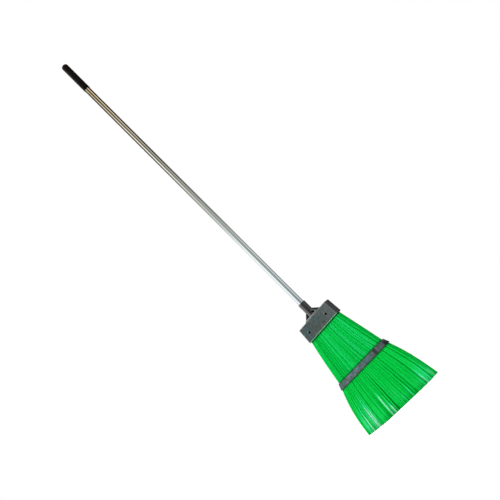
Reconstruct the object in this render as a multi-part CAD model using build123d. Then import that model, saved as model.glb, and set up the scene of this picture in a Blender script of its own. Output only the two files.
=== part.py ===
from build123d import *
import os
from math import cos, sin

# Street broom: rows of plastic bristles clamped in a two-part head, on a push-fit tube handle.
# Millimetres. +Z runs up the handle, the front of the head faces -Y, and the origin is on the floor
# under the handle's axis, level with the longest bristle tips.

# Handle
TUBE_DIAMETER = 22.0
TUBE_WALL = 1.2
HANDLE_REACH = 1218.0  # from the socket's mouth to the tip of the grip
GRIP_WALL = 1.4
GRIP_LENGTH = 130.0
GRIP_END_WALL = 10.0
GRIP_END_RADIUS = 9.0
GRIP_MOUTH_CHAMFER = 0.5
GRIP_CLEARANCE = 0.1
PLUG_FLANGE = 3.0
PLUG_LENGTH = 28.0
PLUG_LEAD_IN = 1.5
PLUG_CLEARANCE = 0.1

# Head: the outline shared by the front plate and the rear wall, and the walls between them
HEAD_TOP_WIDTH = 158.0
HEAD_BOTTOM_WIDTH = 169.0
HEAD_HEIGHT = 56.5
HEAD_CORNER_RADIUS = 3.0
EDGE_CHAMFER = 1.2
REAR_WALL = 4.0
ROOF = 4.0
END_WALL = 2.5
END_INSET = 1.5  # how far the end walls stand in from the outline
PLATE_THICKNESS = 4.0
LIP_HEIGHT = 3.2
LIP_PROUD = 1.3

# Socket, its plinth and its two gussets
SOCKET_WALL = 2.9
SOCKET_HEIGHT = 57.0  # above the top of the head
SOCKET_FLOOR = 4.0  # above the top of the head
SOCKET_CLEARANCE = 0.1
SOCKET_MOUTH_CHAMFER = 0.8
PLINTH_HEIGHT = 3.5
PLINTH_CHAMFER = 1.5
GUSSET_REACH = 20.0  # from the socket's wall to the gusset's foot
GUSSET_HEIGHT = 15.5
GUSSET_RIM = 3.0
GUSSET_WEB = 3.0
GUSSET_DEPTH = 18.0

# Screws that hold the front plate, and the bosses that take them
SCREW_SPACING = 103.0
SCREW_DROP = 30.0  # below the top of the head
SCREW_DIAMETER = 4.0
SCREW_LENGTH = 18.0
SCREW_POINT = 3.0
SCREW_HEAD_DIAMETER = 8.4
SCREW_HEAD_HEIGHT = 2.2
SCREW_HEAD_CHAMFER = 1.0
SCREW_SOCKET_WIDTH = 4.6  # across the flats
SCREW_SOCKET_DEPTH = 1.4
SCREW_CLEARANCE = 0.1
COUNTERBORE_CLEARANCE = 0.8
COUNTERBORE_MARGIN = 0.8  # how far the heads lie below the plate's face
BOSS_WALL = 2.4
BOSS_CLEARANCE = 0.3

# Bristle rows: each is a solid strip inside the head with its strands fanning out below it
BRISTLE_REACH = 359.5  # from the bottom of the head to the longest tips
ROW_COUNT = 5
STRIP_THICKNESS = 4.3
STRIP_BELOW_BOSS = 4.6
STRIP_GAP = 0.1
STRIP_END_CLEARANCE = 0.6
MOUTH_CLEARANCE = 0.5
LINES_PER_ROW = 2
LINE_STAGGER = 0.3  # share of a strand's pitch by which a line's middle is shifted from the last's
STRANDS_PER_LINE = 31
STRAND_WIDTH = 3.0
STRAND_THICKNESS = 1.6
STRAND_EMBED = 1.0
FAN_WIDTH_AT_BAND_TOP = 243.0
FAN_WIDTH_AT_BAND_BOTTOM = 264.0
FAN_WIDTH_AT_TIPS = 354.0
FAN_BOW = 6.0  # how far each flank swells half-way from the strap to the tips
FAN_DEPTH_AT_TIPS = 34.0
TIP_SWAY = 1.6
SCATTER_ACROSS = 37.0  # rates of the waves that make the tips uneven
SCATTER_DEPTH = 2.1
SCATTER_TRIM = 1.9
TRIM_SAG = 8.0  # how much shorter the outermost strands are
TRIM_RAGGED = 4.0
TRIM_FLAT = 0.5

# Strap round the bristles
BAND_DROP = 218.5  # from the top of the head to the strap's upper edge
BAND_HEIGHT = 21.5
BAND_WALL = 2.0
BAND_CLEARANCE = 0.5
BAND_INNER_RADIUS = 1.5
WELD_OFFSET = 82.0
WELD_WIDTH = 15.0
WELD_HEIGHT = 14.0
WELD_DEPTH = 0.5

# Radii about the handle's axis
bore_radius = TUBE_DIAMETER / 2 + SOCKET_CLEARANCE
socket_radius = bore_radius + SOCKET_WALL
gusset_foot = socket_radius + GUSSET_REACH

# Heights that several pieces share
head_bottom = BRISTLE_REACH
head_top = head_bottom + HEAD_HEIGHT
plinth_top = head_top + PLINTH_HEIGHT
socket_mouth = head_top + SOCKET_HEIGHT
socket_floor = head_top + SOCKET_FLOOR
tube_bottom = socket_floor + PLUG_FLANGE
grip_tip = socket_mouth + HANDLE_REACH
tube_top = grip_tip - GRIP_END_WALL
screw_height = head_top - SCREW_DROP
screw_places = [(side * SCREW_SPACING / 2, screw_height) for side in (-1, 1)]
screw_hole_radius = SCREW_DIAMETER / 2 + SCREW_CLEARANCE
counterbore_depth = SCREW_HEAD_HEIGHT + COUNTERBORE_MARGIN
boss_radius = screw_hole_radius + BOSS_WALL
strip_top = head_top - ROOF - STRIP_GAP
strip_bottom = screw_height - boss_radius - STRIP_BELOW_BOSS
band_top = head_top - BAND_DROP
band_bottom = band_top - BAND_HEIGHT
band_middle = (band_top + band_bottom) / 2

# Depths through the head, front to rear
row_pitch = STRIP_THICKNESS + STRIP_GAP
pack_half_depth = (ROW_COUNT * row_pitch + STRIP_GAP) / 2
plate_front = -pack_half_depth - PLATE_THICKNESS
rear_face = pack_half_depth + REAR_WALL
screw_seat = plate_front + counterbore_depth

# Places of the strands, from the strips down to the tips
line_pitch = STRIP_THICKNESS / LINES_PER_ROW
line_count = ROW_COUNT * LINES_PER_ROW
outer_line = (ROW_COUNT - 1) / 2 * row_pitch + (LINES_PER_ROW - 1) / 2 * line_pitch
fan_depth_growth = (FAN_DEPTH_AT_TIPS - STRAND_THICKNESS) / (2 * outer_line)
strand_root = strip_bottom + STRAND_EMBED
mouth_half_width = HEAD_BOTTOM_WIDTH / 2 - END_INSET - END_WALL
fan_half_mouth = mouth_half_width - MOUTH_CLEARANCE - STRAND_WIDTH / 2
fan_half_band_top = (FAN_WIDTH_AT_BAND_TOP - STRAND_WIDTH) / 2
fan_half_band_bottom = (FAN_WIDTH_AT_BAND_BOTTOM - STRAND_WIDTH) / 2
fan_half_tips = (FAN_WIDTH_AT_TIPS - STRAND_WIDTH) / 2 - TIP_SWAY
fan_flare = (fan_half_band_top - fan_half_mouth) / (head_bottom - band_top)
fan_half_root = fan_half_mouth - fan_flare * (strand_root - head_bottom)


def facing_front(x, depth, height):
    """A plane at one place, with X across, Y up and its own Z axis pointing out of the front."""
    return Plane((x, depth, height), x_dir=(1, 0, 0), z_dir=(0, -1, 0))


def slab(outline, front, rear):
    """Extrudes a front-view outline from one depth to another."""
    return extrude(facing_front(0, rear, 0) * outline, rear - front)


def round_bar(radius, bottom, top):
    """A plain cylinder on the handle's axis, from one height to another."""
    return extrude(Pos(0, 0, bottom) * Circle(radius), top - bottom)


def head_half_width(height):
    """Half the width of the head's outline, which widens evenly towards its bottom."""
    share = (head_top - height) / HEAD_HEIGHT
    return (HEAD_TOP_WIDTH + share * (HEAD_BOTTOM_WIDTH - HEAD_TOP_WIDTH)) / 2


def head_trapezoid(inset=0.0, top=head_top, bottom=head_bottom):
    """The head's front outline, or one that stands in from its ends by an inset."""
    top_half = head_half_width(top) - inset
    bottom_half = head_half_width(bottom) - inset
    return Polygon((-bottom_half, bottom), (bottom_half, bottom), (top_half, top), (-top_half, top))


def head_panel(front, rear):
    """A wall with the head's full outline and rounded corners."""
    outline = head_trapezoid()
    return slab(fillet(outline.vertices(), HEAD_CORNER_RADIUS), front, rear)


def make_gusset():
    """The right-hand gusset: a thin web with a broad rim along its slope, open front and rear."""
    slope = GUSSET_HEIGHT / GUSSET_REACH
    rim_across = GUSSET_RIM * (1 + 1 / slope**2) ** 0.5
    root = socket_radius - SOCKET_WALL / 2
    root_top = plinth_top + slope * (gusset_foot - root)
    foot = (gusset_foot, plinth_top)
    web = Polygon((root, plinth_top), foot, (root, root_top))
    rim_inside = ((root, root_top - slope * rim_across), (gusset_foot - rim_across, plinth_top))
    rim = Polygon(foot, (root, root_top), *rim_inside)
    return slab(web, -GUSSET_WEB / 2, GUSSET_WEB / 2) + slab(rim, -GUSSET_DEPTH / 2, GUSSET_DEPTH / 2)


def make_plinth():
    """The pad under the socket and gussets, whose front overlaps the top edge of the front plate."""
    corners = ((-gusset_foot, head_top), (gusset_foot, head_top))
    outline = Polygon(*corners, (gusset_foot, plinth_top), (-gusset_foot, plinth_top))
    pad = slab(outline, plate_front, rear_face)
    return chamfer(pad.faces().sort_by(Axis.Z)[-1].edges(), PLINTH_CHAMFER)


def make_head_body():
    """Rear wall, roof and end walls in one moulding, with the screw bosses and the handle socket."""
    rear_wall = head_panel(pack_half_depth, rear_face)
    rear_wall = chamfer(rear_wall.faces().sort_by(Axis.Y)[-1].edges(), EDGE_CHAMFER)
    inside = head_trapezoid(END_INSET + END_WALL, top=head_top - ROOF)
    walls = slab(head_trapezoid(END_INSET) - inside, -pack_half_depth, pack_half_depth)
    socket = round_bar(socket_radius, plinth_top, socket_mouth)
    socket = chamfer(socket.faces().sort_by(Axis.Z)[-1].edges(), SOCKET_MOUTH_CHAMFER)
    gusset = make_gusset()
    body = rear_wall + [walls, make_plinth(), socket, gusset, mirror(gusset, Plane.YZ)]
    body -= round_bar(bore_radius, socket_floor, socket_mouth)
    pilot_end = screw_seat + SCREW_LENGTH + SCREW_CLEARANCE
    for x, height in screw_places:
        body += slab(Pos(x, height) * Circle(boss_radius), -pack_half_depth, pack_half_depth)
        body -= slab(Pos(x, height) * Circle(screw_hole_radius), -pack_half_depth, pilot_end)
    return body


def make_lip():
    """The half-round lip along the lower front edge, with a foot that fills the plate's chamfer."""
    half = HEAD_BOTTOM_WIDTH / 2 - HEAD_CORNER_RADIUS
    top = head_bottom + LIP_HEIGHT
    foot = plate_front + EDGE_CHAMFER
    outline = Polyline((plate_front, top), (foot, top), (foot, head_bottom), (plate_front, head_bottom))
    outline += ThreePointArc(
        (plate_front, head_bottom),
        (plate_front - LIP_PROUD, (head_bottom + top) / 2),
        (plate_front, top),
    )
    end_plane = Plane((-half, 0, 0), x_dir=(0, 1, 0), z_dir=(1, 0, 0))
    return extrude(end_plane * make_face(outline), 2 * half)


def make_front_plate():
    """The plate that closes the head: chamfered edges, a round lip below and two counterbores."""
    plate = head_panel(plate_front, -pack_half_depth)
    plate = chamfer(plate.faces().sort_by(Axis.Y)[0].edges(), EDGE_CHAMFER)
    plate += make_lip()
    counterbore = Circle(SCREW_HEAD_DIAMETER / 2 + COUNTERBORE_CLEARANCE)
    for x, height in screw_places:
        plate -= slab(Pos(x, height) * Circle(screw_hole_radius), plate_front, -pack_half_depth)
        plate -= slab(Pos(x, height) * counterbore, plate_front, screw_seat)
    return plate


def make_clamp_screws():
    """Two screws with bevelled heads and six-sided sockets, seated in the counterbores."""
    shank = SCREW_DIAMETER / 2
    head = SCREW_HEAD_DIAMETER / 2
    point = ((0, -SCREW_LENGTH), (shank, SCREW_POINT - SCREW_LENGTH))
    rim = ((head, 0), (head, SCREW_HEAD_HEIGHT - SCREW_HEAD_CHAMFER))
    crown = ((head - SCREW_HEAD_CHAMFER, SCREW_HEAD_HEIGHT), (0, SCREW_HEAD_HEIGHT))
    outline = Polyline(*point, (shank, 0), *rim, *crown, close=True)
    screw = revolve(Plane.XZ * make_face(outline), Axis.Z)
    socket = RegularPolygon(SCREW_SOCKET_WIDTH / 2, 6, major_radius=False)
    screw -= extrude(Pos(0, 0, SCREW_HEAD_HEIGHT) * socket, -SCREW_SOCKET_DEPTH)
    return Compound([facing_front(x, screw_seat, height) * screw for x, height in screw_places])


def strand_centres(row, line, index):
    """Where one strand leaves its strip, passes the strap's two edges, swells and ends."""
    line_number = row * LINES_PER_ROW + line - (line_count - 1) / 2
    spread = 2 * index / (STRANDS_PER_LINE - 1) - 1
    stagger = (LINE_STAGGER * line_number + 0.5) % 1 - 0.5
    across = spread + 2 * stagger / (STRANDS_PER_LINE - 1) * (1 - spread**2)
    depth = (row - (ROW_COUNT - 1) / 2) * row_pitch + (line - (LINES_PER_ROW - 1) / 2) * line_pitch
    corner = BAND_INNER_RADIUS * (depth / outer_line) ** 2
    scatter = SCATTER_ACROSS * across + SCATTER_DEPTH * line_number
    ragged = TRIM_RAGGED * (1 + cos(SCATTER_TRIM * scatter)) / 2
    root = Vector(across * fan_half_root, depth, strand_root)
    strap_top = Vector(across * (fan_half_band_top - corner), depth, band_top)
    strap_bottom = Vector(across * (fan_half_band_bottom - corner), depth, band_bottom)
    tip = Vector(
        across * fan_half_tips + TIP_SWAY * sin(scatter),
        depth * fan_depth_growth,
        max(0.0, TRIM_SAG * across**2 + ragged - TRIM_FLAT),
    )
    swell = (strap_bottom + tip) / 2 + Vector(FAN_BOW * across, 0, 0)
    return root, strap_top, strap_bottom, swell, tip


def make_strand(centres):
    """One four-sided strand, lofted straight from section to section."""
    half = Vector(STRAND_WIDTH / 2, STRAND_THICKNESS / 2)
    corners = ((-1, -1), (1, -1), (1, 1), (-1, 1))
    sections = [
        Wire.make_polygon([centre + Vector(half.X * side, half.Y * face) for side, face in corners])
        for centre in centres
    ]
    return Solid.make_loft(sections, ruled=True)


def make_bristle_row(row):
    """A strip with holes for the screw bosses, and its strands fused to its lower edge."""
    front = (row - ROW_COUNT / 2) * row_pitch + STRIP_GAP / 2
    outline = head_trapezoid(END_INSET + END_WALL + STRIP_END_CLEARANCE, strip_top, strip_bottom)
    for x, height in screw_places:
        outline -= Pos(x, height) * Circle(boss_radius + BOSS_CLEARANCE)
    strip = slab(outline, front, front + STRIP_THICKNESS)
    strands = [
        make_strand(strand_centres(row, line, index))
        for line in range(LINES_PER_ROW)
        for index in range(STRANDS_PER_LINE)
    ]
    return strip.fuse(Compound(strands))


def band_loop(height, fan_width, wall):
    """The strap's plan at one height: its outside with a wall, or its inside without."""
    grow = 2 * (BAND_CLEARANCE + wall)
    fan_depth = 2 * outer_line + STRAND_THICKNESS
    return Pos(0, 0, height) * RectangleRounded(fan_width + grow, fan_depth + grow, BAND_INNER_RADIUS + wall)


def band_solid(wall):
    """A block that flares with the bristles from the strap's upper edge to its lower one."""
    lower = band_loop(band_bottom, FAN_WIDTH_AT_BAND_BOTTOM, wall)
    upper = band_loop(band_top, FAN_WIDTH_AT_BAND_TOP, wall)
    return loft([lower, upper], ruled=True)


def make_bristle_band():
    """A closed strap that holds the bristles flat, with the sunk patch of its weld."""
    band = band_solid(BAND_WALL) - band_solid(0.0)
    front = band.bounding_box().min.Y
    patch = Pos(WELD_OFFSET, band_middle) * Rectangle(WELD_WIDTH, WELD_HEIGHT)
    return band - slab(patch, front, front + WELD_DEPTH)


def make_handle_tube():
    """The straight tube, from its plug in the socket to the closed end of the grip."""
    outside = round_bar(TUBE_DIAMETER / 2, tube_bottom, tube_top)
    return outside - round_bar(TUBE_DIAMETER / 2 - TUBE_WALL, tube_bottom, tube_top)


def make_tube_plug():
    """The plug in the tube's lower end, with a flange as wide as the tube."""
    spigot = TUBE_DIAMETER / 2 - TUBE_WALL - PLUG_CLEARANCE
    plug = round_bar(spigot, tube_bottom, tube_bottom + PLUG_LENGTH)
    plug = chamfer(plug.faces().sort_by(Axis.Z)[-1].edges(), PLUG_LEAD_IN)
    return plug + round_bar(TUBE_DIAMETER / 2, socket_floor, tube_bottom)


def make_hand_grip():
    """A sleeve with a rounded closed end, pushed down over the top of the tube."""
    bore = TUBE_DIAMETER / 2 + GRIP_CLEARANCE
    grip = round_bar(bore + GRIP_WALL, grip_tip - GRIP_LENGTH, grip_tip)
    grip = fillet(grip.faces().sort_by(Axis.Z)[-1].edges(), GRIP_END_RADIUS)
    grip = chamfer(grip.faces().sort_by(Axis.Z)[0].edges(), GRIP_MOUTH_CHAMFER)
    return grip - round_bar(bore, grip_tip - GRIP_LENGTH, tube_top)


nodes = {
    "head_body": make_head_body(),
    "front_plate": make_front_plate(),
    "clamp_screws": make_clamp_screws(),
    "bristle_band": make_bristle_band(),
    "handle_tube": make_handle_tube(),
    "tube_plug": make_tube_plug(),
    "hand_grip": make_hand_grip(),
}
for row in range(ROW_COUNT):
    nodes[f"bristle_row_{row + 1}"] = make_bristle_row(row)

os.makedirs("parts", exist_ok=True)
for name, shape in nodes.items():
    export_step(shape, f"parts/{name}.step")
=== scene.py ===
import math
import random

import bmesh
import bpy
from mathutils import Matrix, Vector


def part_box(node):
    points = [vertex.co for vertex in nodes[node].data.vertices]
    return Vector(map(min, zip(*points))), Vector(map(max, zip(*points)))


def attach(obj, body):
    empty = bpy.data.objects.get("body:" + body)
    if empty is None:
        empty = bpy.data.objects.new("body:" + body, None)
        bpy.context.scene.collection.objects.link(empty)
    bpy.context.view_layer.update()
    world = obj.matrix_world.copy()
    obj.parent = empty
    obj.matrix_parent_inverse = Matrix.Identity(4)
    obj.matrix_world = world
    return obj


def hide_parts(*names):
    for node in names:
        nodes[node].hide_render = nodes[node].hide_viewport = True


# Street broom, seen as in the photograph: the handle runs up to the left, and the bristle fan is
# at the right. Metres, in the frame of the CAD model: +Z up the handle, the head's front at -Y.

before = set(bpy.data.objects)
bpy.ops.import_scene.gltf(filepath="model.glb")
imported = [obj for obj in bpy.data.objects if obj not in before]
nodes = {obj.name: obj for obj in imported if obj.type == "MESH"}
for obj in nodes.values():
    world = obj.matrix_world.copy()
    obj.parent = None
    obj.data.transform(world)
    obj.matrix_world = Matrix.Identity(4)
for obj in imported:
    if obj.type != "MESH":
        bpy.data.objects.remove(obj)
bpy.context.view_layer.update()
scene = bpy.context.scene

head_low, head_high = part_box("front_plate")
band_low, band_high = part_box("bristle_band")
row_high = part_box("bristle_row_1")[1]
screw_low, screw_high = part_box("clamp_screws")

MM = 0.001

# Camera, with its angles in degrees
CAMERA_AZIMUTH = 37.4
CAMERA_ELEVATION = -11.3
CAMERA_ROLL = -45.06
CAMERA_DISTANCE = 3.070
CAMERA_TARGET = Vector((0.0058, 0.0, 0.7243))
CAMERA_LENS = 65.0
CAMERA_SENSOR = 36.0
CAMERA_REACH = 60.0

# Head
HEAD_TAPER = 5.5 * MM  # how much narrower its outline is at the top, on each side
HEAD_END = 4.0 * MM  # its end walls, with their inset

# Screws
SCREW_SEGMENTS = 36
SCREW_HEAD_HEIGHT = 2.2 * MM
DOME_HEIGHT = 1.5 * MM
DOME_START = 1.3  # the dome's inner edge, as a share of the socket's half width
DOME_STEPS = 6
SOCKET_HALF_WIDTH = 2.5 * MM  # from the middle to a flat
SOCKET_DEPTH = 2.0 * MM
SOCKET_BEVEL = 0.25 * MM
SOCKET_BEVEL_DEPTH = 0.15 * MM
SHANK_RADIUS = 2.0 * MM
THREAD_ROOT = 1.45 * MM
THREAD_PITCH = 1.6 * MM
THREAD_STEPS = 6  # rings to a pitch
THREAD_SHARPNESS = 3.2
POINT_LENGTH = 3.0 * MM
POINT_TAPER = 0.95

# Bristles: rows, their lines of strands, and the strips that hold them inside the head
ROWS = 5
LINES_PER_ROW = 3
STRANDS_PER_LINE = 30
ROW_PITCH = 4.4 * MM
LINE_PITCH = 0.9 * MM  # between the lines of the front row
INNER_SCATTER = 2.4 * MM  # strands of the inner rows lie this far out of their row
STRIP_THICKNESS = 4.3 * MM
STRIP_HEIGHT = 35.0 * MM
STRIP_HALF_TOP = 74.8 * MM
STRIP_HALF_BOTTOM = 78.2 * MM
BOSS_HOLE_RADIUS = 4.8 * MM
BOSS_HOLE_SEGMENTS = 24

# One strand
STRAND_SIDES = 8
STRAND_HALF_WIDTH = 2.65 * MM
STRAND_HALF_DEPTH = 0.3 * MM
STRAND_SPREAD = 0.38  # how much wider a strand is worn at its tip
STRAND_SIZE_SCATTER = 0.08
STRAND_TURN_SCATTER = 0.08  # radians
STRAND_CLEARANCE = 0.7 * MM
STRAND_EMBED = 1.0 * MM
POINTS_ABOVE_BAND = (0.25, 0.5, 0.75)  # shares of the way from the head to the strap
POINTS_BELOW_BAND = (0.16, 0.3, 0.44, 0.58, 0.72, 0.86, 1.0)  # and from the strap to the tip

# How the strands lie in the fan
BAND_WALL = 2.0 * MM
BAND_FLARE = 10.5 * MM  # how much wider the strap is at its lower edge, on each side
BAND_CORNER = 1.5 * MM
LINE_STAGGER = 0.37  # shift of each line from the last one, as a share of the strands' pitch
PLACE_SCATTER = 0.28  # and how far a strand is out of its place
UPPER_BOW_LEFT = 2.6 * MM  # the left flank bulges this much above the strap
UPPER_BOW_SCATTER = 0.6 * MM
UPPER_SWEEP = 4.5 * MM  # right of the middle the strands sweep inwards before the strap
UPPER_SWAY_SCATTER = 0.1 * MM
FAN_BOW = 6.0 * MM  # both flanks swell this much below the strap
FAN_BOW_LEFT = 3.5 * MM  # and the left one this much more
FAN_BOW_SCATTER = 1.2 * MM
LEFT_FLANK_FROM = -0.4  # where the left flank's bulges start, as a share of the fan's half width
FAN_LEAN = -1.7 * MM  # the tips stand a little to the left
FAN_DEPTH_GROWTH = 1.52
TIP_SPREAD = 2.4 * MM  # how far the tips stand out past the CAD model's, on each side
TIP_SCATTER = 1.3 * MM
TIP_DEPTH_SCATTER = 0.7 * MM

# How the tips are cut
TRIM_CUT = 1.5 * MM  # lowers the cut, so that the longest strands end on the floor
TRIM_SAG_LEFT = 8.0 * MM  # how much shorter the outermost strands are
TRIM_SAG_RIGHT = 4.0 * MM
TRIM_NOTCH = 1.5 * MM
TRIM_NOTCH_AT = -44.0 * MM
TRIM_NOTCH_WIDTH = 14.0 * MM
TRIM_SHORTER = 3.0 * MM  # how ragged the cut is
TRIM_LONGER = 0.9 * MM

# Tones of the strands, from 0, which is painted shade, to 1, which is palest
LEAST_TONE = 0.12
STRIP_TONE = 0.3
EDGE_FALL = 0.05  # painted shade: how much darker a strand is along its edges, below the strap
EDGE_COSINE = 0.7
SHADE_LENGTH = 5.5 * MM  # painted shade reaches this far below the head and from both edges of the strap
SHADE_DEEP = 2.0 * MM  # and is deepest for this far below the head
SAME_HEIGHT = 0.5 * MM
UPPER_TONE_SCATTER = 0.022
LOWER_TONE_SCATTER = 0.035
TIP_TONE_SCATTER = 0.08
TIP_TONE_FROM = 110.0 * MM  # the height at which the tips' own tones begin
TIP_TONE_FULL = 40.0 * MM
PALE_SHARE = 0.12  # single strands that are paler above the strap
PALE_RISE = 0.11
PLACE_SHARE_LEAST = 0.5  # how much a strand takes of a pale or dark place, at least
PLACE_SHARE_RANGE = 1.7

# Tufts of like tone across the fan, light ones and dark ones in turn: narrowest, widest, tone and
# its scatter. They start and end just outside the fan, at a share of its half width.
TUFTS_LOWER = [(10.0 * MM, 24.0 * MM, 0.46, 0.03), (4.0 * MM, 7.0 * MM, 0.39, 0.03)]
TUFTS_UPPER = [(12.0 * MM, 30.0 * MM, 0.50, 0.07), (6.0 * MM, 13.0 * MM, 0.265, 0.04)]
TUFTS_START = -1.184
TUFTS_END = 1.2

# Places near the tips: the paler ones are partly faded strands and partly painted light, and
# the darker ones painted shade. Place across the fan, half width, height at which it begins,
# height at which it is full, and rise of tone, which is a fall where the place is dark
FADED_AND_PAINTED_LIGHT = [
    (place * MM, half * MM, top * MM, full * MM, rise)
    for place, half, top, full, rise in (
        (-140.0, 50.0, 160.0, 45.0, 0.28),
        (-174.0, 10.0, 120.0, 30.0, 0.14),
        (-136.0, 5.0, 95.0, 50.0, 0.18),
        (-102.0, 6.0, 90.0, 40.0, 0.28),
        (-82.0, 4.0, 75.0, 40.0, -0.14),
        (-64.0, 3.0, 95.0, 50.0, -0.14),
        (-56.0, 3.5, 110.0, 60.0, 0.60),
        (-49.0, 3.0, 95.0, 50.0, -0.14),
        (-42.0, 5.0, 56.0, 30.0, 0.80),
        (8.0, 4.0, 90.0, 60.0, 0.12),
        (20.0, 4.0, 75.0, 45.0, -0.12),
        (27.0, 4.0, 50.0, 30.0, 0.30),
        (59.0, 7.0, 60.0, 35.0, 0.30),
        (83.0, 6.0, 75.0, 45.0, -0.12),
        (104.0, 6.0, 55.0, 35.0, 0.24),
        (118.0, 8.0, 40.0, 15.0, 0.22),
        (136.0, 19.0, 85.0, 30.0, 0.30),
        (152.0, 4.0, 120.0, 70.0, 0.30),
        (159.0, 4.0, 150.0, 110.0, -0.24),
        (168.0, 3.0, 150.0, 90.0, 0.30),
        (172.0, 9.0, 60.0, 25.0, 0.32),
        (185.0, 4.0, 140.0, 70.0, 0.30),
    )
]

# Seeds of the random draws
STRAND_SEED = 53
DEPTH_SEED = 5
TIP_SEED = 8
LOWER_TUFT_SEED = 643
UPPER_TUFT_SEED = 2751

# Floor: half its size, how far it lies under the tips, how much of its white metal mirrors, and
# how it brightens with the distance from the broom's foot
FLOOR_HALF = 8.0
FLOOR_DROP = 0.4 * MM
FLOOR_MIRRORED = 0.1
FLOOR_SHADE_END = 0.25
FLOOR_WHITE_START = 0.8
FLOOR_LEAST_WHITE = 0.7

# Lamps, which face one point: azimuth and elevation in degrees, distance, size, power, and whether
# metal mirrors them
LAMP_AIM = Vector((0.0, 0.0, 0.75))
LAMPS = {
    "key": (-38.0, 38.0, 3.2, 2.0, 80.0, False),
    "fill": (60.0, 6.0, 3.4, 2.4, 58.0, False),
    "top": (-75.0, 62.0, 2.2, 1.2, 24.0, True),
}

# Ring of soft strips that only reflections show. Each zone has the tones of its strips by azimuth.
# A zone above the lowest one fades in between two heights.
RING_RADIUS = 1.9
RING_BOTTOM = -0.3
RING_TOP = 3.0
RING_STEPS = 96
RING_STRENGTH = 1.6
RING_LOWEST_ZONE = [
    (-180, 0.2), (-130, 0.1), (-100, 0.1), (-66, 0.3), (-50, 1.1), (-14, 1.1), (0, 0.4),
    (12, 0.1), (60, 0.06), (80, 0.12), (98, 0.2), (180, 0.2),
]
RING_ZONES = [
    (0.56, 0.7, [
        (-180, 0.25), (-130, 0.3), (-100, 0.6), (-50, 1.06), (-26, 1.06), (-6, 0.75), (18, 0.4),
        (58, 0.28), (80, 0.48), (98, 0.85), (112, 0.68), (130, 0.2), (150, 0.16), (180, 0.25),
    ]),
    (1.12, 1.39, [
        (-180, 0.05), (-120, 0.1), (-90, 0.22), (-65, 0.44), (-40, 0.56), (-18, 0.57), (0, 0.53),
        (20, 0.46), (37, 0.38), (55, 0.36), (74, 0.39), (93, 0.39), (115, 0.24), (140, 0.1),
        (180, 0.05),
    ]),
    (1.45, 1.88, [
        (-180, 0.04), (-120, 0.01), (-62, 0.01), (-46, 0.3), (-34, 1.1), (-20, 1.38), (-4, 1.3),
        (12, 0.65), (26, 0.1), (44, 0.06), (54, 0.12), (66, 0.36), (84, 0.46), (96, 0.34),
        (108, 0.1), (120, 0.01), (150, 0.02), (180, 0.04),
    ]),
    (1.9, 2.42, [
        (-180, 0.01), (-120, 0.0), (-62, 0.0), (-46, 0.1), (-34, 0.7), (-20, 0.95), (-4, 0.9),
        (10, 0.38), (24, 0.0), (44, 0.0), (54, 0.08), (66, 0.66), (84, 0.95), (96, 0.62),
        (108, 0.1), (120, 0.0), (150, 0.0), (180, 0.01),
    ]),
]


def smoothstep(low, high, value):
    """Goes smoothly from 0 at low to 1 at high, whichever of the two is the greater."""
    share = min(1.0, max(0.0, (value - low) / (high - low)))
    return share * share * (3 - 2 * share)


def compass(azimuth, elevation=0.0):
    """A unit vector towards a direction in degrees: azimuth 0 is the front, 90 the right."""
    a, e = math.radians(azimuth), math.radians(elevation)
    return Vector((math.sin(a) * math.cos(e), -math.cos(a) * math.cos(e), math.sin(e)))


# Places that several pieces share
camera_back = compass(CAMERA_AZIMUTH, CAMERA_ELEVATION)
camera_place = CAMERA_TARGET + camera_back * CAMERA_DISTANCE
screw_radius = (screw_high.z - screw_low.z) / 2
screw_x = (screw_high.x - screw_low.x) / 2 - screw_radius
screw_z = (screw_high.z + screw_low.z) / 2
mouth = head_low.z
strip_top = row_high.z
strip_bottom = strip_top - STRIP_HEIGHT
strand_root = strip_bottom + STRAND_EMBED
upper_length = mouth - band_high.z
band_middle = (band_low.z + band_high.z) / 2
outer_depth = (ROWS - 1) / 2 * ROW_PITCH + (LINES_PER_ROW - 1) / 2 * LINE_PITCH
half_mouth = head_high.x - HEAD_END - STRAND_CLEARANCE - STRAND_HALF_WIDTH
half_band_bottom = band_high.x - BAND_WALL - STRAND_CLEARANCE - STRAND_HALF_WIDTH
half_band_top = half_band_bottom - BAND_FLARE
half_tips = row_high.x + TIP_SPREAD - STRAND_HALF_WIDTH


def link_object(name, data):
    piece = bpy.data.objects.new(name, data)
    scene.collection.objects.link(piece)
    return piece


def finish_mesh(mesh, name, material):
    """Turns a bmesh into a linked piece with one material."""
    bmesh.ops.recalc_face_normals(mesh, faces=mesh.faces)
    data = bpy.data.meshes.new(name)
    mesh.to_mesh(data)
    mesh.free()
    data.materials.append(material)
    return link_object(name, data)


def add_rings(mesh, rings):
    """Joins rings of points into a closed skin with flat ends."""
    made = [[mesh.verts.new(point) for point in ring] for ring in rings]
    count = len(made[0])
    for first, second in zip(made, made[1:]):
        for k in range(count):
            after = (k + 1) % count
            mesh.faces.new((first[k], second[k], second[after], first[after])).smooth = True
    mesh.faces.new(made[0])
    mesh.faces.new(list(reversed(made[-1])))
    return made


# Materials


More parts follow.
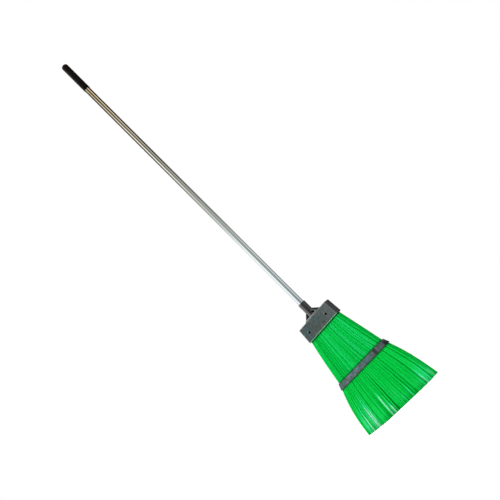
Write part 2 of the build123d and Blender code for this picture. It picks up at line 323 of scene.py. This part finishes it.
class Shader:
    """A node material with a Principled shader, and short calls to add and join nodes."""

    def __init__(self, name, **settings):
        self.material = bpy.data.materials.new(name)
        self.material.use_nodes = True
        self.tree = self.material.node_tree
        self.surface = self.tree.nodes["Principled BSDF"]
        self.place = self.add("TexCoord").outputs["Object"]
        for socket, value in settings.items():
            self.set(socket.replace("_", " "), value)

    def add(self, kind, attributes=None, **inputs):
        node = self.tree.nodes.new("ShaderNode" + kind)
        for key, value in (attributes or {}).items():
            setattr(node, key, value)
        for key, value in inputs.items():
            self.feed(node.inputs[key.replace("_", " ")], value)
        return node

    def feed(self, socket, value):
        if isinstance(value, bpy.types.NodeSocket):
            self.tree.links.new(value, socket)
        else:
            socket.default_value = value

    def set(self, socket, value):
        self.feed(self.surface.inputs[socket], value)

    def along(self, axis):
        """The object-space place along one axis, X, Y or Z."""
        return self.add("SeparateXYZ", Vector=self.place).outputs[axis]

    def math(self, operation, *values):
        node = self.add("Math", {"operation": operation})
        for socket, value in zip(node.inputs, values):
            self.feed(socket, value)
        return node.outputs["Value"]

    def product(self, first, *others):
        for other in others:
            first = self.math("MULTIPLY", first, other)
        return first

    def vector_math(self, operation, *values):
        """A number worked out from vectors."""
        node = self.add("VectorMath", {"operation": operation})
        for socket, value in zip(node.inputs, values):
            self.feed(socket, value)
        return node.outputs["Value"]

    def stretched(self, x, y, z):
        node = self.add("Mapping", Vector=self.place)
        node.inputs["Scale"].default_value = (x, y, z)
        return node.outputs["Vector"]

    def noise(self, scale, detail=3.0, rough=0.5, vector=None):
        node = self.add("TexNoise", Scale=scale, Detail=detail, Roughness=rough)
        self.feed(node.inputs["Vector"], vector or self.place)
        return node.outputs["Fac"]

    def ramp(self, value, *stops):
        node = self.add("ValToRGB", Fac=value)
        elements = node.color_ramp.elements
        while len(elements) < len(stops):
            elements.new(0.5)
        for element, (position, colour) in zip(elements, stops):
            element.position = position
            element.color = (*colour, 1.0)
        return node.outputs["Color"]

    def span(self, value, low, high, new_low=0.0, new_high=1.0):
        """Maps low to high, in either order, onto new_low to new_high, and stays there beyond."""
        node = self.add("MapRange", Value=value)
        node.inputs["From Min"].default_value = low
        node.inputs["From Max"].default_value = high
        node.inputs["To Min"].default_value = new_low
        node.inputs["To Max"].default_value = new_high
        return node.outputs["Result"]

    def between(self, value, start, full, fade, end):
        """Rises from 0 to 1 between start and full, and falls to 0 between fade and end."""
        return self.product(self.span(value, start, full), self.span(value, end, fade))

    def mix(self, share, first, second, mode="MIX"):
        node = self.add("Mix", {"data_type": "RGBA", "blend_type": mode})
        self.feed(node.inputs["Factor"], share)
        for socket, value in ((node.inputs[6], first), (node.inputs[7], second)):
            self.feed(socket, value if isinstance(value, bpy.types.NodeSocket) else (*value, 1.0))
        return node.outputs[2]

    def tinted(self, colour, tint):
        return self.mix(1.0, colour, tint, "MULTIPLY")

    def painted(self, colour, *coats):
        """Lays coats over a colour, each with the share that it covers and its own colour."""
        for share, coat in coats:
            colour = self.mix(share, colour, coat)
        return colour

    def bump(self, height, distance, strength=1.0):
        node = self.add("Bump", Height=height, Distance=distance, Strength=strength)
        self.set("Normal", node.outputs["Normal"])

    def edges(self, radius):
        """How far the surface is from flat within a radius: 0 on flat ground, rising at edges."""
        bevel = self.add("Bevel", {"samples": 4}, Radius=radius).outputs["Normal"]
        plain = self.add("NewGeometry").outputs["Normal"]
        return self.span(self.vector_math("DOT_PRODUCT", bevel, plain), 0.98, 0.75)


def moulded_plastic(
    name, tones, edge, edge_width, rough, specular, warm=(1.12, 0.97, 0.95), cool=(0.9, 1.02, 1.05)
):
    """Moulded plastic with a fine grain: cloudy colour from three tones, stained warm and cool, and
    edges of another tone. Gives the shader and its colour."""
    shader = Shader(name, Specular_IOR_Level=specular)
    colour = shader.ramp(shader.noise(70.0, 5.0, 0.65), *zip((0.34, 0.5, 0.66), tones))
    stain = shader.ramp(shader.noise(30.0, 2.0, 0.5), (0.36, warm), (0.64, cool))
    colour = shader.mix(shader.edges(edge_width), shader.tinted(colour, stain), edge)
    grain = shader.noise(420.0, 2.0)
    shader.set("Base Color", colour)
    shader.set("Roughness", shader.span(grain, 0.3, 0.7, rough - 0.07, rough + 0.07))
    shader.bump(shader.noise(2600.0, 2.0, 0.6), 0.12 * MM, 0.5)
    return shader, colour


def outline_highlight(shader, inner, outer, left, right):
    """Painted highlight that rises towards the slanted ends of the head's outline, to a share of
    its own at each end.
    """
    place = shader.along("X")
    rise = shader.math("SUBTRACT", shader.along("Z"), head_low.z)
    taper = HEAD_TAPER / (head_high.z - head_low.z)
    inwards = shader.math("MULTIPLY_ADD", rise, taper, shader.math("ABSOLUTE", place))
    share = shader.span(inwards, head_high.x - inner, head_high.x - outer)
    return shader.product(share, shader.span(place, head_low.x, head_high.x, left, right))


def head_plastic():
    """The glossier, darker grey of the moulding with the socket, with painted highlights on its
    plinth, socket front, left web and outline ends.
    """
    tones = [(0.002, 0.003, 0.003), (0.005, 0.007, 0.006), (0.012, 0.014, 0.013)]
    edge = (0.03, 0.033, 0.033)
    shader, colour = moulded_plastic("head_plastic", tones, edge, 1.4 * MM, 0.27, 0.6)
    shader.set("Coat Weight", 0.36)
    shader.set("Coat IOR", 1.7)
    shader.set("Coat Roughness", 0.14)
    across, depth = shader.along("X"), shader.along("Y")
    above = shader.math("SUBTRACT", shader.along("Z"), head_high.z)
    # Painted highlight on the front of the plinth, strongest at the left, where the light comes
    # from.
    plinth = shader.product(
        shader.between(above, -0.5 * MM, 0.3 * MM, 2.8 * MM, 3.6 * MM),
        shader.span(across, -20.0 * MM, 20.0 * MM, 1.0, 0.4),
    )
    # Painted highlight: a lighter strip down the front of the socket, a little left of its middle.
    socket_front = shader.product(
        shader.between(across, -7.5 * MM, -4.0 * MM, -3.0 * MM, 0.5 * MM),
        shader.span(depth, 0.0, -2.0 * MM),
        shader.span(above, 3.4 * MM, 4.0 * MM),
    )
    # Painted light on the web of the left gusset, as lit from the left.
    left_web = shader.product(
        shader.span(shader.math("ABSOLUTE", depth), 2.6 * MM, 2.2 * MM),
        shader.span(above, 3.6 * MM, 4.0 * MM),
        shader.span(across, -14.4 * MM, -15.0 * MM),
    )
    colour = shader.painted(
        colour,
        (plinth, (0.14, 0.158, 0.16)),
        (socket_front, (0.075, 0.082, 0.085)),
        (left_web, (0.10, 0.11, 0.11)),
        # painted highlight along the ends of the outline
        (outline_highlight(shader, 1.3 * MM, 0.2 * MM, 1.0, 1.0), (0.07, 0.08, 0.08)),
    )
    shader.set("Base Color", colour)
    return shader.material


def plate_plastic():
    """The front plate: a lighter grey, painted lighter towards its right end, with painted
    highlights along its edges, outline and top, and most of all on its lip.
    """
    tones = [(0.000, 0.010, 0.009), (0.010, 0.032, 0.030), (0.036, 0.060, 0.058)]
    # Its edges are painted lighter, as highlights.
    edge = (0.16, 0.18, 0.18)
    warm, cool = (1.8, 0.96, 0.82), (0.5, 1.04, 1.12)
    shader, colour = moulded_plastic(
        "plate_plastic", tones, edge, 1.2 * MM, 0.38, 0.5, warm, cool
    )
    across, height = shader.along("X"), shader.along("Z")
    pale_highlight = (0.30, 0.33, 0.33)
    # Painted light: the plate grows lighter towards its right end.
    right_half = shader.span(across, 0.2 * head_high.x, head_high.x, 0.0, 0.3)
    # Painted highlights along the slanted ends and the top edge.
    ends = outline_highlight(shader, 2.6 * MM, 1.4 * MM, 0.45, 0.15)
    top = shader.span(height, head_high.z - 2.8 * MM, head_high.z - 1.4 * MM, 0.0, 0.5)
    # Painted highlight on the lip, tinted green as a painted reflection of the bristles below it.
    lip = shader.span(height, head_low.z + 3.2 * MM, head_low.z + 2.6 * MM)
    colour = shader.painted(
        colour,
        (right_half, (0.09, 0.11, 0.11)),
        (ends, pale_highlight),
        (top, pale_highlight),
        (lip, (0.08, 0.30, 0.145)),
    )

    flat = shader.stretched(1.0, 0.0, 1.0)
    soft = 0.3 * MM

    def spot(x, z, radius):
        away = shader.vector_math("DISTANCE", flat, (x, 0.0, z))
        return shader.span(away, radius + soft, radius - soft)

    # At each hole: a painted glint up and left of it, and painted shade in and around its
    # counterbore.
    for x in (-screw_x, screw_x):
        hole_glint = spot(x - 4.0 * MM, screw_z + 4.6 * MM, 2.8 * MM)
        counterbore = spot(x, screw_z, 5.2 * MM)
        colour = shader.painted(
            colour, (hole_glint, (0.20, 0.14, 0.14)), (counterbore, (0.04, 0.04, 0.04))
        )
    shader.set("Base Color", colour)
    return shader.material


def strap_plastic():
    """The strap: blue-grey, with painted light and shade across it, lighter left of the middle and
    darker at its ends, painted shade along its edges, and a dark weld patch.
    """
    tones = [(0.042, 0.064, 0.064), (0.077, 0.110, 0.114), (0.139, 0.171, 0.182)]
    # Painted shade, dark green, along the strap's edges.
    painted_shade = (0.004, 0.032, 0.014)
    shade_reach = 3.2 * MM
    dark = (0.1, 0.1, 0.1)
    warm, cool = (1.3, 0.95, 1.0), (0.7, 1.04, 1.0)
    shader, colour = moulded_plastic(
        "strap_plastic", tones, painted_shade, 1.0 * MM, 0.42, 0.28, warm, cool
    )
    # Painted light and shade across the strap: lighter left of the middle, darker towards the right
    # and at both ends. The narrow dark band is the weld patch.
    side = shader.ramp(
        shader.span(shader.along("X"), band_low.x, band_high.x),
        (0.0, (0.7, 0.9, 0.85)),
        (0.3, (1.1, 1.05, 1.08)),
        (0.5, (0.95, 0.95, 0.96)),
        (0.78, (0.66, 0.76, 0.70)),
        (0.785, dark),
        (0.83, dark),
        (0.835, (0.62, 0.67, 0.65)),
        (0.965, (0.62, 0.67, 0.67)),
        (0.985, dark),
    )
    height = shader.along("Z")
    # Painted shade along the lower and upper edges.
    colour = shader.painted(
        shader.tinted(colour, side),
        (shader.span(height, band_low.z, band_low.z + shade_reach, 0.9, 0.0), painted_shade),
        (shader.span(height, band_high.z, band_high.z - shade_reach, 0.9, 0.0), painted_shade),
    )
    shader.set("Base Color", colour)
    return shader.material


def plug_plastic():
    tones = [(0.012, 0.012, 0.012), (0.018, 0.018, 0.018), (0.024, 0.024, 0.024)]
    shader, _ = moulded_plastic("plug_plastic", tones, (0.05, 0.05, 0.05), 1.0 * MM, 0.5, 0.4)
    return shader.material


def bristle_plastic():
    """Green monofilament: each strand has its own tone and a satin shine."""
    shader = Shader("bristle_filament", Specular_IOR_Level=0.012)
    green = shader.ramp(
        shader.add("Attribute", {"attribute_name": "tone"}).outputs["Fac"],
        # tone 0 is painted shade
        (0.0, (0.0, 0.08, 0.008)),
        (0.2, (0.0, 0.52, 0.042)),
        (0.35, (0.0, 0.66, 0.066)),
        (0.5, (0.003, 0.725, 0.088)),
        (0.65, (0.01, 0.79, 0.150)),
        (0.8, (0.016, 0.88, 0.270)),
        (0.92, (0.06, 0.95, 0.390)),
        (1.0, (0.24, 0.99, 0.590)),
    )
    above_band = shader.span(shader.along("Z"), band_low.z, band_high.z)
    # Painted shade: the green is tinted darker above the strap than below it.
    shade = shader.ramp(above_band, (0.0, (0.95, 0.84, 0.76)), (1.0, (0.85, 0.79, 0.84)))
    mottle = shader.noise(1.0, 3.0, 0.6, shader.stretched(260.0, 260.0, 22.0))
    grain = shader.noise(1.0, 2.0, 0.5, shader.stretched(1600.0, 1600.0, 60.0))
    darker = shader.span(mottle, 0.3, 0.7, 0.92, 1.0)
    shader.set("Base Color", shader.tinted(shader.tinted(green, shade), darker))
    shader.set("Roughness", shader.span(mottle, 0.3, 0.7, 0.36, 0.5))
    shader.bump(grain, 0.06 * MM, 0.2)
    return shader.material


def drawn_tube():
    """Bare drawn tube: fine lines along it, and a tint that grows warmer and darker towards the
    grip, where the darkening is a painted dimming of its reflections.
    """
    shader = Shader("tube_drawn_aluminium", Metallic=1.0)
    low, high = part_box("handle_tube")
    # Painted reflection: darker towards the grip, to dim the reflections there.
    tint = shader.ramp(
        shader.span(shader.along("Z"), low.z, high.z),
        (0.05, (0.53, 0.60, 0.62)),
        (0.38, (0.55, 0.59, 0.55)),
        (0.62, (0.59, 0.57, 0.48)),
        (0.75, (0.60, 0.54, 0.41)),
        (0.89, (0.53, 0.43, 0.26)),
    )
    lines = shader.noise(1.0, 4.0, 0.65, shader.stretched(1500.0, 1500.0, 2.5))
    worn = shader.span(lines, 0.3, 0.7, 0.9, 1.08)
    shader.set("Base Color", shader.tinted(tint, worn))
    shader.set("Roughness", shader.span(lines, 0.3, 0.7, 0.1, 0.18))
    shader.bump(lines, 0.02 * MM, 0.35)
    return shader.material


def soft_grip():
    """Black grip: a little brown where it is handled, with a fine leathery grain."""
    shader = Shader("grip_black", Specular_IOR_Level=0.05)
    cloud = shader.noise(55.0, 4.0, 0.6)
    colour = shader.ramp(cloud, (0.3, (0.001, 0.001, 0.001)), (0.6, (0.006, 0.004, 0.003)))
    shader.set("Base Color", colour)
    shader.set("Roughness", shader.span(cloud, 0.3, 0.7, 0.42, 0.56))
    shader.bump(shader.noise(900.0, 3.0, 0.6), 0.2 * MM, 0.5)
    return shader.material


def blackened_steel():
    """Black oxide on the screws, with painted shade below the tops of their heads."""
    shader = Shader("screw_black_oxide", Metallic=1.0)
    cloud = shader.noise(800.0, 3.0, 0.6)
    steel = shader.ramp(cloud, (0.3, (0.012, 0.012, 0.012)), (0.7, (0.03, 0.03, 0.03)))
    front = screw_low.y
    # Painted shade: darker below the tops of the heads, in the sockets and down their sides.
    painted_shade = shader.span(shader.along("Y"), front + 0.2 * MM, front + 0.9 * MM)
    shader.set("Base Color", shader.mix(painted_shade, steel, (0.008, 0.008, 0.008)))
    shader.set("Roughness", shader.span(cloud, 0.3, 0.7, 0.4, 0.55))
    shader.bump(cloud, 0.04 * MM, 0.4)
    return shader.material


def dress_nodes():
    """Gives the CAD pieces that show their own materials."""
    materials = {
        "head_body": head_plastic(),
        "front_plate": plate_plastic(),
        "bristle_band": strap_plastic(),
        "tube_plug": plug_plastic(),
        "handle_tube": drawn_tube(),
        "hand_grip": soft_grip(),
    }
    for name, material in materials.items():
        nodes[name].data.materials.clear()
        nodes[name].data.materials.append(material)


# Screws: domed heads with dark six-sided sockets, and a cut thread


def screw_ring(side, depth, radius_at):
    """Points round the axis of one screw, with a radius for each angle."""
    ring = []
    for k in range(SCREW_SEGMENTS):
        angle = math.tau * k / SCREW_SEGMENTS
        x = side * screw_x + radius_at(angle) * math.cos(angle)
        z = screw_z + radius_at(angle) * math.sin(angle)
        ring.append(Vector((x, depth, z)))
    return ring


def hexagon(angle):
    """The socket's radius at an angle."""
    sixth = math.tau / 6
    return SOCKET_HALF_WIDTH / math.cos(angle % sixth - sixth / 2)


def thread(angle, depth):
    """The shank's radius at an angle and a depth, with its thread and its point."""
    point = smoothstep(screw_high.y - POINT_LENGTH, screw_high.y, depth)
    phase = (depth / THREAD_PITCH - angle / math.tau) % 1.0
    crest = max(0.0, 1.0 - abs(phase - 0.5) * THREAD_SHARPNESS)
    return (1.0 - POINT_TAPER * point) * (THREAD_ROOT + (SHANK_RADIUS - THREAD_ROOT) * crest)


def screw_rings(side):
    """One screw from the floor of its socket, over its head and down to its point."""
    front, tip = screw_low.y, screw_high.y
    seat = front + SCREW_HEAD_HEIGHT
    rings = [
        screw_ring(side, front + SOCKET_DEPTH, hexagon),
        screw_ring(side, front + SOCKET_BEVEL_DEPTH, hexagon),
        screw_ring(side, front, lambda angle: hexagon(angle) + SOCKET_BEVEL),
    ]
    dome_start = SOCKET_HALF_WIDTH * DOME_START
    for step in range(1, DOME_STEPS + 1):
        turn = step / DOME_STEPS * math.pi / 2
        radius = dome_start + (screw_radius - dome_start) * math.sin(turn)
        depth = front + DOME_HEIGHT * (1 - math.cos(turn))
        rings.append(screw_ring(side, depth, lambda angle: radius))
    rings.append(screw_ring(side, seat, lambda angle: screw_radius))
    steps = int((tip - seat) / (THREAD_PITCH / THREAD_STEPS))
    for step in range(steps + 1):
        depth = seat + (tip - seat) * step / steps
        rings.append(screw_ring(side, depth, lambda angle: thread(angle, depth)))
    return rings


def make_screws(material):
    mesh = bmesh.new()
    for side in (-1, 1):
        add_rings(mesh, screw_rings(side))
    piece = finish_mesh(mesh, "screws", material)
    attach(piece, "head")
    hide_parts("clamp_screws")


# Bristles

rng = random.Random(STRAND_SEED)
depth_rng = random.Random(DEPTH_SEED)
tip_rng = random.Random(TIP_SEED)


def make_tufts(kinds, seed):
    """The ends of tufts across the fan, each with its tone."""
    dice = random.Random(seed)
    tufts = []
    end = TUFTS_START * half_tips
    while end < TUFTS_END * half_tips:
        for narrow, wide, tone, spread in kinds:
            end += dice.uniform(narrow, wide)
            tufts.append((end, dice.gauss(tone, spread)))
    return tufts


lower_tufts = make_tufts(TUFTS_LOWER, LOWER_TUFT_SEED)
upper_tufts = make_tufts(TUFTS_UPPER, UPPER_TUFT_SEED)


def strand_tone(tufts, seen, scatter):
    """The tone of the tuft that a strand belongs to, with a scatter of its own."""
    return next(tone for end, tone in tufts if seen < end) + rng.gauss(0.0, scatter)


def faded_and_painted_light(seen, height):
    """How much a strand's tone rises at a height near its tip, from fading and painted light, and
    falls from painted shade.
    """
    return sum(
        rise * math.exp(-(((seen - place) / half) ** 2)) * smoothstep(top, full, height)
        for place, half, top, full, rise in FADED_AND_PAINTED_LIGHT
    )


def strand_depth(row, line):
    """Depth of a strand at the head: in line in the front row, scattered in the others."""
    middle = (row - (ROWS - 1) / 2) * ROW_PITCH
    if row == 0:
        return middle + (line - (LINES_PER_ROW - 1) / 2) * LINE_PITCH
    scatter = INNER_SCATTER if row < ROWS - 1 else LINE_PITCH
    return middle + depth_rng.uniform(-1.0, 1.0) * scatter


def seen_place(tip_x, tip_y):
    """Where in the middle plane of the fan a tip is seen from the camera."""
    return tip_x + camera_place.x / (tip_y - camera_place.y) * tip_y


def calmed(spread, share, power):
    """Falls from 1 by a share towards the flanks, nearer to them the higher the power."""
    return 1 - share * spread**power


def arch(share):
    """0 at both ends of a stretch and 1 half-way."""
    return 4 * share * (1 - share)


def trim_height(across, spread, tip_x):
    """How high above the floor a strand is cut."""
    notch = TRIM_NOTCH * math.exp(-(((tip_x - TRIM_NOTCH_AT) / TRIM_NOTCH_WIDTH) ** 2))
    sag = (TRIM_SAG_LEFT if across < 0 else TRIM_SAG_RIGHT) * across**2
    ragged = rng.uniform(-TRIM_LONGER, TRIM_SHORTER) * calmed(spread, 0.9, 8)
    return max(0.0, sag - TRIM_CUT + notch + ragged)


def strand_path(row, line, index):
    """Centre points of one strand, from its strip down to its tip, and where the tip is seen."""
    depth = strand_depth(row, line)
    spread = 2 * index / (STRANDS_PER_LINE - 1) - 1
    stagger = (LINE_STAGGER * (row * LINES_PER_ROW + line)) % 1.0 - 0.5
    stagger += rng.uniform(-PLACE_SCATTER, PLACE_SCATTER)
    across = spread + 2 * stagger / (STRANDS_PER_LINE - 1) * calmed(spread, 1.0, 12)

    corner = BAND_CORNER * (depth / outer_depth) ** 2
    mouth_x = across * half_mouth
    top_x = across * (half_band_top - corner)
    bottom_x = across * (half_band_bottom - corner)
    tip_x = across * half_tips + FAN_LEAN + rng.gauss(0.0, TIP_SCATTER) * calmed(spread, 0.9, 4)
    tip_y = depth * FAN_DEPTH_GROWTH + rng.gauss(0.0, TIP_DEPTH_SCATTER)
    tip_z = trim_height(across, spread, tip_x)

    leftmost = smoothstep(LEFT_FLANK_FROM, -1.0, across)
    sweep = UPPER_SWEEP * math.sin(math.pi * min(1.0, max(0.0, across)))
    upper_bow = rng.gauss(0.0, UPPER_BOW_SCATTER) - UPPER_BOW_LEFT * leftmost - sweep
    lower_bow = FAN_BOW * across - FAN_BOW_LEFT * leftmost
    lower_bow += rng.gauss(0.0, FAN_BOW_SCATTER) * calmed(spread, 0.8, 4)
    upper_sway = rng.gauss(0.0, UPPER_SWAY_SCATTER)

    root_x = mouth_x - (top_x - mouth_x) / upper_length * (strand_root - mouth)
    points = [Vector((root_x, depth, strand_root)), Vector((mouth_x, depth, mouth))]
    falls = [share * upper_length for share in POINTS_ABOVE_BAND]
    for fall in (SHADE_DEEP, SHADE_LENGTH, *falls, upper_length - SHADE_LENGTH):
        share = fall / upper_length
        x = mouth_x + share * (top_x - mouth_x) + upper_bow * arch(share)
        points.append(Vector((x, depth + upper_sway * arch(share), mouth - fall)))
    points += [Vector((top_x, depth, band_high.z)), Vector((bottom_x, depth, band_low.z))]
    for share in (SHADE_LENGTH / band_low.z, *POINTS_BELOW_BAND):
        x = bottom_x + share * (tip_x - bottom_x) + lower_bow * arch(share)
        y = depth + share * (tip_y - depth)
        points.append(Vector((x, y, band_low.z + share * (tip_z - band_low.z))))
    return points, seen_place(tip_x, tip_y)


def add_strand(mesh, tones, points, seen, lower_tone, upper_tone):
    """A closed flat strand along points. Its vertices carry its tone, which is 0 where shade is
    painted.
    """
    turn = rng.uniform(-STRAND_TURN_SCATTER, STRAND_TURN_SCATTER)
    size = rng.uniform(1 - STRAND_SIZE_SCATTER, 1 + STRAND_SIZE_SCATTER)
    place_share = PLACE_SHARE_LEAST + PLACE_SHARE_RANGE * rng.random() ** 2
    tip_tone = tip_rng.gauss(0.0, TIP_TONE_SCATTER)
    angles = [math.tau * (side + 0.5) / STRAND_SIDES for side in range(STRAND_SIDES)]

    rings = []
    for point in points:
        worn = size * (1 + STRAND_SPREAD * (1 - point.z / mouth))
        ring = []
        for angle in angles:
            wide = math.cos(angle) * STRAND_HALF_WIDTH * worn
            deep = math.sin(angle) * STRAND_HALF_DEPTH * size
            x = wide * math.cos(turn) - deep * math.sin(turn)
            y = wide * math.sin(turn) + deep * math.cos(turn)
            ring.append(point + Vector((x, y, 0)))
        rings.append(ring)

    # Painted shade: tone 0 at the root, just below the head and at both edges of the strap.
    shaded_heights = (strand_root, mouth, mouth - SHADE_DEEP, band_high.z, band_low.z)
    for point, ring in zip(points, add_rings(mesh, rings)):
        shaded = any(abs(point.z - height) < SAME_HEIGHT for height in shaded_heights)
        if point.z > band_middle:
            light, edge_fall = upper_tone, 0.0
        else:
            worn_tone = tip_tone * smoothstep(TIP_TONE_FROM, TIP_TONE_FULL, point.z)
            light = lower_tone + place_share * faded_and_painted_light(seen, point.z) + worn_tone
            edge_fall = EDGE_FALL
        for angle, vertex in zip(angles, ring):
            # Painted shade along the strand's edges, below the strap.
            tone = light - edge_fall * (abs(math.cos(angle)) > EDGE_COSINE)
            vertex[tones] = 0.0 if shaded else min(1.0, max(LEAST_TONE, tone))


def add_strip(mesh, tones, row):
    """The solid strip of a row inside the head, with holes for the two screw bosses."""
    outline = [
        (-STRIP_HALF_BOTTOM, strip_bottom),
        (STRIP_HALF_BOTTOM, strip_bottom),
        (STRIP_HALF_TOP, strip_top),
        (-STRIP_HALF_TOP, strip_top),
    ]
    turns = [math.tau * k / BOSS_HOLE_SEGMENTS for k in range(BOSS_HOLE_SEGMENTS)]
    circle = [(BOSS_HOLE_RADIUS * math.cos(a), BOSS_HOLE_RADIUS * math.sin(a)) for a in turns]
    holes = [[(side * screw_x + x, screw_z + z) for x, z in circle] for side in (-1, 1)]
    front = (row - ROWS / 2) * ROW_PITCH + (ROW_PITCH - STRIP_THICKNESS) / 2
    edges = []
    for loop in (outline, *holes):
        ring = [mesh.verts.new((x, front, z)) for x, z in loop]
        edges += [mesh.edges.new((a, b)) for a, b in zip(ring, ring[1:] + ring[:1])]
    filled = bmesh.ops.triangle_fill(mesh, use_beauty=True, edges=edges)
    faces = [item for item in filled["geom"] if isinstance(item, bmesh.types.BMFace)]
    grown = bmesh.ops.extrude_face_region(mesh, geom=faces, use_keep_orig=True)
    moved = [item for item in grown["geom"] if isinstance(item, bmesh.types.BMVert)]
    bmesh.ops.translate(mesh, verts=moved, vec=(0, STRIP_THICKNESS, 0))
    for vertex in mesh.verts:
        vertex[tones] = STRIP_TONE


def make_bristles(row, material):
    """One row: its strip, and its strands line by line."""
    mesh = bmesh.new()
    tones = mesh.verts.layers.float.new("tone")
    add_strip(mesh, tones, row)
    for line in range(LINES_PER_ROW):
        for index in range(STRANDS_PER_LINE):
            points, seen = strand_path(row, line, index)
            upper_tone = strand_tone(upper_tufts, seen, UPPER_TONE_SCATTER)
            upper_tone += PALE_RISE * (rng.random() < PALE_SHARE)
            lower_tone = strand_tone(lower_tufts, seen, LOWER_TONE_SCATTER)
            add_strand(mesh, tones, points, seen, lower_tone, upper_tone)
    piece = finish_mesh(mesh, f"bristles_{row + 1}", material)
    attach(piece, "head")
    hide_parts(f"bristle_row_{row + 1}")


# Stage: white floor and world, soft lamps, and a ring of strips that only reflections show


def white_to_camera(tree, mirrored=1.0):
    """1 for rays that show the background itself, a share where they mirror it, and 0 for the
    light that it gives."""
    path = tree.nodes.new("ShaderNodeLightPath")
    total = path.outputs["Is Camera Ray"]
    for ray, share in (("Is Glossy Ray", mirrored), ("Is Transmission Ray", 1.0)):
        add = tree.nodes.new("ShaderNodeMath")
        add.operation = "MULTIPLY_ADD"
        add.use_clamp = True
        tree.links.new(path.outputs[ray], add.inputs[0])
        add.inputs[1].default_value = share
        tree.links.new(total, add.inputs[2])
        total = add.outputs[0]
    return total


def make_world():
    """White to the camera, and a soft grey light on the broom."""
    world = bpy.data.worlds.new("studio")
    scene.world = world
    world.use_nodes = True
    tree = world.node_tree
    mix = tree.nodes.new("ShaderNodeMix")
    mix.data_type = "RGBA"
    tree.links.new(white_to_camera(tree), mix.inputs["Factor"])
    mix.inputs[6].default_value = (0.27, 0.275, 0.28, 1.0)
    mix.inputs[7].default_value = (1.0, 1.0, 1.0, 1.0)
    tree.links.new(mix.outputs[2], tree.nodes["Background"].inputs["Color"])


def make_floor():
    """A white floor that shows the broom's shadow near its foot and fades into the white world."""
    data = bpy.data.meshes.new("floor")
    corners = [(x * FLOOR_HALF, y * FLOOR_HALF, 0) for x, y in ((-1, -1), (1, -1), (1, 1), (-1, 1))]
    data.from_pydata(corners, [], [(0, 1, 2, 3)])
    floor = link_object("floor", data)
    floor.location.z = -FLOOR_DROP
    shader = Shader(
        "floor_white", Base_Color=(0.8, 0.8, 0.8, 1.0), Roughness=0.9, Specular_IOR_Level=0.0
    )
    away = shader.vector_math("LENGTH", shader.place)
    white = shader.span(away, FLOOR_SHADE_END, FLOOR_WHITE_START, FLOOR_LEAST_WHITE, 1.0)
    lift = shader.product(white_to_camera(shader.tree, FLOOR_MIRRORED), white)
    shader.set("Emission Color", (1.0, 1.0, 1.0, 1.0))
    shader.set("Emission Strength", lift)
    data.materials.append(shader.material)


def make_camera():
    data = bpy.data.cameras.new("camera")
    data.lens = CAMERA_LENS
    data.sensor_width = CAMERA_SENSOR
    data.clip_end = CAMERA_REACH
    camera = link_object("camera", data)
    right = compass(CAMERA_AZIMUTH + 90.0)
    up = camera_back.cross(right)
    roll = math.radians(CAMERA_ROLL)
    rolled_right = math.cos(roll) * right + math.sin(roll) * up
    rolled_up = math.cos(roll) * up - math.sin(roll) * right
    turn = Matrix((rolled_right, rolled_up, camera_back)).transposed()
    camera.matrix_world = Matrix.Translation(camera_place) @ turn.to_4x4()
    scene.camera = camera


def add_lamp(name, azimuth, elevation, distance, size, power, mirrored):
    """A square soft box."""
    data = bpy.data.lights.new(name, "AREA")
    data.size = size
    data.energy = power
    lamp = link_object(name, data)
    away = compass(azimuth, elevation)
    lamp.location = LAMP_AIM + away * distance
    lamp.rotation_euler = away.to_track_quat("Z", "Y").to_euler()
    lamp.visible_glossy = mirrored


def make_reflector():
    """The ring of strips: a soft white one at the left, greyer ones elsewhere."""
    data = bpy.data.meshes.new("reflector")
    points = []
    for step in range(RING_STEPS):
        foot = compass(360.0 * step / RING_STEPS) * RING_RADIUS
        points += [(foot.x, foot.y, RING_BOTTOM), (foot.x, foot.y, RING_TOP)]
    count = len(points)
    faces = [
        (2 * k, (2 * k + 2) % count, (2 * k + 3) % count, 2 * k + 1) for k in range(RING_STEPS)
    ]
    data.from_pydata(points, [], faces)
    ring = link_object("reflector", data)
    shader = Shader(
        "reflector", Base_Color=(0.0, 0.0, 0.0, 1.0), Roughness=1.0, Specular_IOR_Level=0.0
    )
    forwards = shader.span(shader.along("Y"), -1.0, 1.0, 1.0, -1.0)
    angle = shader.math("ARCTAN2", shader.along("X"), forwards)
    around = shader.span(angle, -math.pi, math.pi)
    height = shader.along("Z")

    def strips(tones):
        stops = [((azimuth + 180) / 360, (tone, tone, tone)) for azimuth, tone in tones]
        return shader.ramp(around, *stops)

    colour = shader.painted(
        strips(RING_LOWEST_ZONE),
        *((shader.span(height, start, full), strips(tones)) for start, full, tones in RING_ZONES),
    )
    shader.set("Emission Color", colour)
    shader.set("Emission Strength", RING_STRENGTH)
    data.materials.append(shader.material)
    for kind in ("camera", "diffuse", "shadow", "transmission", "volume_scatter"):
        setattr(ring, "visible_" + kind, False)


dress_nodes()
make_screws(blackened_steel())
filament = bristle_plastic()
for row in range(ROWS):
    make_bristles(row, filament)

scene.view_settings.view_transform = "Standard"
make_world()
make_floor()
make_camera()
for name, settings in LAMPS.items():
    add_lamp(name, *settings)
make_reflector()
